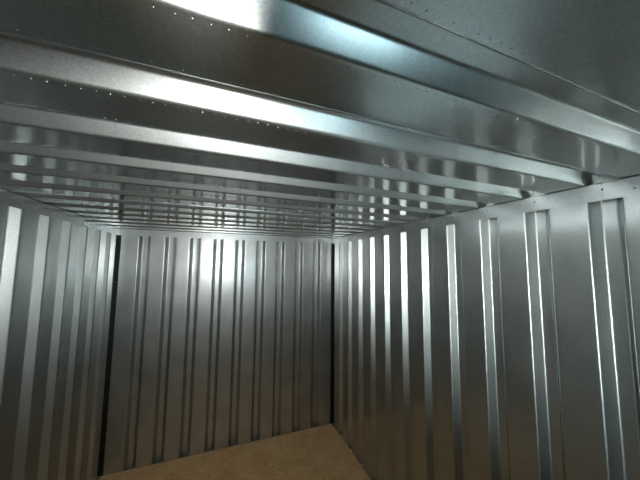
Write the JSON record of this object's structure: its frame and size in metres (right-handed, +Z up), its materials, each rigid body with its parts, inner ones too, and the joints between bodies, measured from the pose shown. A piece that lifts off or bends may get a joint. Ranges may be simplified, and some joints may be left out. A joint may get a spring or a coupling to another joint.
{
  "type": "storage container",
  "caption": "Demountable storage container of folded galvanised corrugated sheet on a steel base frame, with a boarded floor and double doors standing open.",
  "frame": {"origin": "on the ground, at the middle of the room's plan, on the underside of the middle floor joist", "axes": "+Y towards the closed back wall, so the doors are at -Y; +X to the right as one enters; +Z up"},
  "size_m": [2.1705, 4.6885, 2.1835],
  "materials": {
    "galvanised_sheet": "bright galvanised, smooth, faintly spangled",
    "base_steel": "dull galvanised",
    "zinc_fitting": "zinc plated, satin",
    "floor_board": "raw chipboard, fine mottle"
  },
  "bodies": {
    "root": {"back_wall_sheet_left": "galvanised_sheet", "back_wall_sheet_right": "galvanised_sheet", "base_rail_back": "base_steel", "base_rail_front": "base_steel", "base_rail_left": "base_steel", "base_rail_right": "base_steel", "corner_post_back_left": "galvanised_sheet", "corner_post_back_right": "galvanised_sheet", "corner_post_front_left": "galvanised_sheet", "corner_post_front_right": "galvanised_sheet", "door_frame_left": "galvanised_sheet", "door_frame_right": "galvanised_sheet", "door_jamb_left": "galvanised_sheet", "door_jamb_right": "galvanised_sheet", "door_sheet_left": "galvanised_sheet", "door_sheet_right": "galvanised_sheet", "door_sill": "galvanised_sheet", "floor_boards": "floor_board", "floor_joists": "base_steel", "hinge_brackets_left": "zinc_fitting", "hinge_brackets_right": "zinc_fitting", "hinge_sleeves_left": "zinc_fitting", "hinge_sleeves_right": "zinc_fitting", "lock_guides": "zinc_fitting", "lock_keepers": "zinc_fitting", "lock_rod": "zinc_fitting", "rail_splices": "galvanised_sheet", "roof_sheet_1": "galvanised_sheet", "roof_sheet_2": "galvanised_sheet", "roof_sheet_3": "galvanised_sheet", "roof_trim_back": "galvanised_sheet", "roof_trim_front": "galvanised_sheet", "roof_trim_left": "galvanised_sheet", "roof_trim_right": "galvanised_sheet", "top_rail_back": "galvanised_sheet", "top_rail_front": "galvanised_sheet", "top_rail_left": "galvanised_sheet", "top_rail_right": "galvanised_sheet", "wall_sheet_1_left": "galvanised_sheet", "wall_sheet_1_right": "galvanised_sheet", "wall_sheet_2_left": "galvanised_sheet", "wall_sheet_2_right": "galvanised_sheet", "wall_sheet_3_left": "galvanised_sheet", "wall_sheet_3_right": "galvanised_sheet"}
  },
  "joints": []
}
